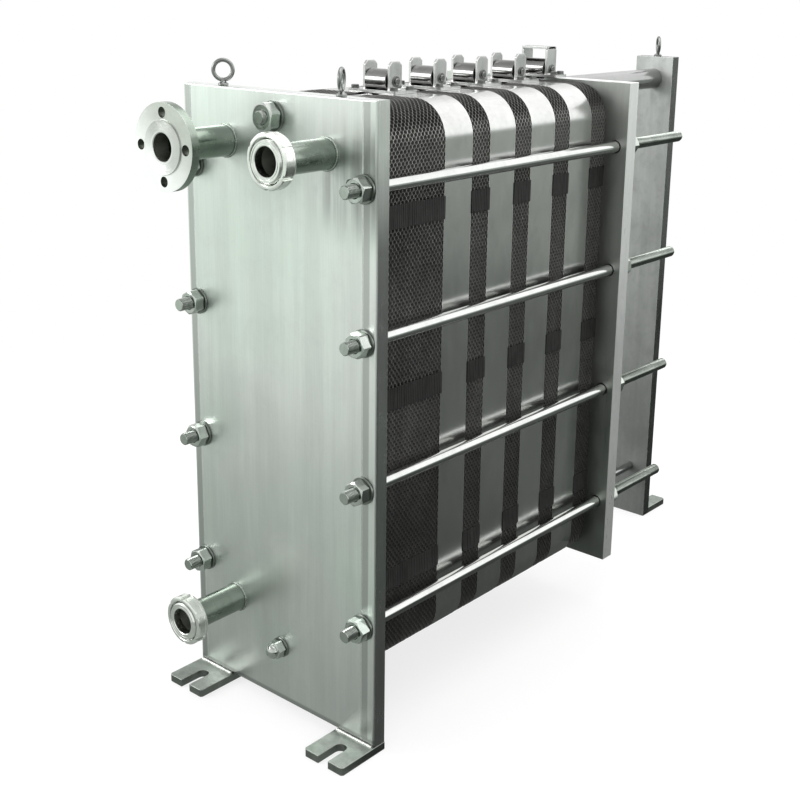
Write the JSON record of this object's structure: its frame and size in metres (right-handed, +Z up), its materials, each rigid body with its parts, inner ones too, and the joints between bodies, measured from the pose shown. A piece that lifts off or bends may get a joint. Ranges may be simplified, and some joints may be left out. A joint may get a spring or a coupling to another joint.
{
  "type": "plate heat exchanger",
  "caption": "Gasketed plate heat exchanger with a sliding pressure plate, connecting grids hung on a carrying bar, tie rods, one flanged port and two threaded union ports, on bolt-down feet.",
  "frame": {"origin": "on the floor, in the middle of the machine's length and width", "axes": "+Z up, +Y from the front plate with the ports towards the rear column, +X to the right seen from the front"},
  "size_m": [0.484, 1.55, 1.2584],
  "materials": {
    "satin_stainless": "satin",
    "grid_stainless": "satin",
    "polished_bar": "polished",
    "bright_fitting": "polished",
    "dark_nut": "machined",
    "roller_steel": "turned",
    "gasketed_plates": "matte"
  },
  "bodies": {
    "frame": {"front_plate": "satin_stainless", "front_foot_left": "satin_stainless", "front_foot_right": "satin_stainless", "rear_column": "satin_stainless", "carrying_bar": "polished_bar", "guide_bar": "polished_bar", "carrying_bar_nut": "dark_nut", "guide_bar_nut": "dark_nut", "eyebolt_front_left": "dark_nut", "eyebolt_front_right": "dark_nut", "eyebolt_rear": "dark_nut", "flanged_port": "bright_fitting", "union_pipe_top": "bright_fitting", "union_pipe_bottom": "bright_fitting", "tie_rod_left_1": "polished_bar", "tie_rod_left_2": "polished_bar", "tie_rod_left_3": "polished_bar", "tie_rod_left_4": "polished_bar", "tie_rod_right_1": "polished_bar", "tie_rod_right_2": "polished_bar", "tie_rod_right_3": "polished_bar", "tie_rod_right_4": "polished_bar", "front_nut_left_1": "dark_nut", "front_nut_left_2": "dark_nut", "front_nut_left_3": "dark_nut", "front_nut_left_4": "dark_nut", "front_nut_right_1": "dark_nut", "front_nut_right_2": "dark_nut", "front_nut_right_3": "dark_nut", "front_nut_right_4": "dark_nut"},
    "pressure_plate": {"pressure_plate": "satin_stainless", "pressure_plate_hanger": "satin_stainless"},
    "pressure_plate_roller": {"pressure_plate_roller": "roller_steel"},
    "grid_1": {"grid_1": "grid_stainless", "grid_hanger_1": "satin_stainless"},
    "grid_roller_1": {"grid_roller_1": "roller_steel"},
    "grid_2": {"grid_2": "grid_stainless", "grid_hanger_2": "satin_stainless"},
    "grid_roller_2": {"grid_roller_2": "roller_steel"},
    "grid_3": {"grid_3": "grid_stainless", "grid_hanger_3": "satin_stainless"},
    "grid_roller_3": {"grid_roller_3": "roller_steel"},
    "grid_4": {"grid_4": "grid_stainless", "grid_hanger_4": "satin_stainless"},
    "grid_roller_4": {"grid_roller_4": "roller_steel"},
    "plate_section_1": {"plate_section_1": "gasketed_plates"},
    "plate_section_2": {"plate_section_2": "gasketed_plates"},
    "plate_section_3": {"plate_section_3": "gasketed_plates"},
    "plate_section_4": {"plate_section_4": "gasketed_plates"},
    "plate_section_5": {"plate_section_5": "gasketed_plates"},
    "rear_nut_left_1": {"rear_nut_left_1": "dark_nut"},
    "rear_nut_left_2": {"rear_nut_left_2": "dark_nut"},
    "rear_nut_left_3": {"rear_nut_left_3": "dark_nut"},
    "rear_nut_left_4": {"rear_nut_left_4": "dark_nut"},
    "rear_nut_right_1": {"rear_nut_right_1": "dark_nut"},
    "rear_nut_right_2": {"rear_nut_right_2": "dark_nut"},
    "rear_nut_right_3": {"rear_nut_right_3": "dark_nut"},
    "rear_nut_right_4": {"rear_nut_right_4": "dark_nut"},
    "union_nut_top": {"union_nut_top": "bright_fitting"},
    "union_nut_bottom": {"union_nut_bottom": "bright_fitting"}
  },
  "joints": [
    {"name": "pressure_plate_slide", "type": "slide", "parent": "frame", "child": "pressure_plate", "axis": [0, 1, 0], "range_m": [0, 0.2]},
    {"name": "plate_section_1_slide", "type": "slide", "parent": "frame", "child": "plate_section_1", "axis": [0, 1, 0], "range_m": [0, 0.021]},
    {"name": "grid_1_slide", "type": "slide", "parent": "frame", "child": "grid_1", "axis": [0, 1, 0], "range_m": [0, 0.041]},
    {"name": "plate_section_2_slide", "type": "slide", "parent": "frame", "child": "plate_section_2", "axis": [0, 1, 0], "range_m": [0, 0.061]},
    {"name": "grid_2_slide", "type": "slide", "parent": "frame", "child": "grid_2", "axis": [0, 1, 0], "range_m": [0, 0.081]},
    {"name": "plate_section_3_slide", "type": "slide", "parent": "frame", "child": "plate_section_3", "axis": [0, 1, 0], "range_m": [0, 0.101]},
    {"name": "grid_3_slide", "type": "slide", "parent": "frame", "child": "grid_3", "axis": [0, 1, 0], "range_m": [0, 0.121]},
    {"name": "plate_section_4_slide", "type": "slide", "parent": "frame", "child": "plate_section_4", "axis": [0, 1, 0], "range_m": [0, 0.141]},
    {"name": "grid_4_slide", "type": "slide", "parent": "frame", "child": "grid_4", "axis": [0, 1, 0], "range_m": [0, 0.161]},
    {"name": "plate_section_5_slide", "type": "slide", "parent": "frame", "child": "plate_section_5", "axis": [0, 1, 0], "range_m": [0, 0.181]},
    {"name": "grid_roller_1_spin", "type": "hinge", "parent": "grid_1", "child": "grid_roller_1", "pos_m": [0, -0.347, 1.2033], "axis": [1, 0, 0], "range_deg": [-109, 5]},
    {"name": "grid_roller_2_spin", "type": "hinge", "parent": "grid_2", "child": "grid_roller_2", "pos_m": [0, -0.214, 1.2033], "axis": [1, 0, 0], "range_deg": [-213, 5]},
    {"name": "grid_roller_3_spin", "type": "hinge", "parent": "grid_3", "child": "grid_roller_3", "pos_m": [0, -0.081, 1.2033], "axis": [1, 0, 0], "range_deg": [-318, 5]},
    {"name": "grid_roller_4_spin", "type": "hinge", "parent": "grid_4", "child": "grid_roller_4", "pos_m": [0, 0.052, 1.2033], "axis": [1, 0, 0], "range_deg": [-422, 5]},
    {"name": "pressure_plate_roller_spin", "type": "hinge", "parent": "pressure_plate", "child": "pressure_plate_roller", "pos_m": [0, 0.1635, 1.2033], "axis": [1, 0, 0], "range_deg": [-526, 5]},
    {"name": "rear_nut_left_1_turn", "type": "hinge", "parent": "pressure_plate", "child": "rear_nut_left_1", "pos_m": [-0.214, 0.194, 0.255], "axis": [0, 1, 0], "continuous": true},
    {"name": "rear_nut_left_2_turn", "type": "hinge", "parent": "pressure_plate", "child": "rear_nut_left_2", "pos_m": [-0.214, 0.194, 0.521], "axis": [0, 1, 0], "continuous": true},
    {"name": "rear_nut_left_3_turn", "type": "hinge", "parent": "pressure_plate", "child": "rear_nut_left_3", "pos_m": [-0.214, 0.194, 0.79], "axis": [0, 1, 0], "continuous": true},
    {"name": "rear_nut_left_4_turn", "type": "hinge", "parent": "pressure_plate", "child": "rear_nut_left_4", "pos_m": [-0.214, 0.194, 1.054], "axis": [0, 1, 0], "continuous": true},
    {"name": "rear_nut_right_1_turn", "type": "hinge", "parent": "pressure_plate", "child": "rear_nut_right_1", "pos_m": [0.214, 0.194, 0.255], "axis": [0, 1, 0], "continuous": true},
    {"name": "rear_nut_right_2_turn", "type": "hinge", "parent": "pressure_plate", "child": "rear_nut_right_2", "pos_m": [0.214, 0.194, 0.521], "axis": [0, 1, 0], "continuous": true},
    {"name": "rear_nut_right_3_turn", "type": "hinge", "parent": "pressure_plate", "child": "rear_nut_right_3", "pos_m": [0.214, 0.194, 0.79], "axis": [0, 1, 0], "continuous": true},
    {"name": "rear_nut_right_4_turn", "type": "hinge", "parent": "pressure_plate", "child": "rear_nut_right_4", "pos_m": [0.214, 0.194, 1.054], "axis": [0, 1, 0], "continuous": true},
    {"name": "union_nut_top_turn", "type": "hinge", "parent": "frame", "child": "union_nut_top", "pos_m": [0.126, -0.755, 1.104], "axis": [0, 1, 0], "continuous": true},
    {"name": "union_nut_bottom_turn", "type": "hinge", "parent": "frame", "child": "union_nut_bottom", "pos_m": [-0.126, -0.755, 0.198], "axis": [0, 1, 0], "continuous": true}
  ],
  "couplings": [
    {"joint": "plate_section_1_slide", "follows": "pressure_plate_slide", "ratio": 0.1},
    {"joint": "grid_1_slide", "follows": "pressure_plate_slide", "ratio": 0.2},
    {"joint": "plate_section_2_slide", "follows": "pressure_plate_slide", "ratio": 0.3},
    {"joint": "grid_2_slide", "follows": "pressure_plate_slide", "ratio": 0.4},
    {"joint": "plate_section_3_slide", "follows": "pressure_plate_slide", "ratio": 0.5},
    {"joint": "grid_3_slide", "follows": "pressure_plate_slide", "ratio": 0.6},
    {"joint": "plate_section_4_slide", "follows": "pressure_plate_slide", "ratio": 0.7},
    {"joint": "grid_4_slide", "follows": "pressure_plate_slide", "ratio": 0.8},
    {"joint": "plate_section_5_slide", "follows": "pressure_plate_slide", "ratio": 0.9},
    {"joint": "grid_roller_1_spin", "follows": "pressure_plate_slide", "rad_per_m": -9.0909},
    {"joint": "grid_roller_2_spin", "follows": "pressure_plate_slide", "rad_per_m": -18.182},
    {"joint": "grid_roller_3_spin", "follows": "pressure_plate_slide", "rad_per_m": -27.273},
    {"joint": "grid_roller_4_spin", "follows": "pressure_plate_slide", "rad_per_m": -36.364},
    {"joint": "pressure_plate_roller_spin", "follows": "pressure_plate_slide", "rad_per_m": -45.455}
  ]
}
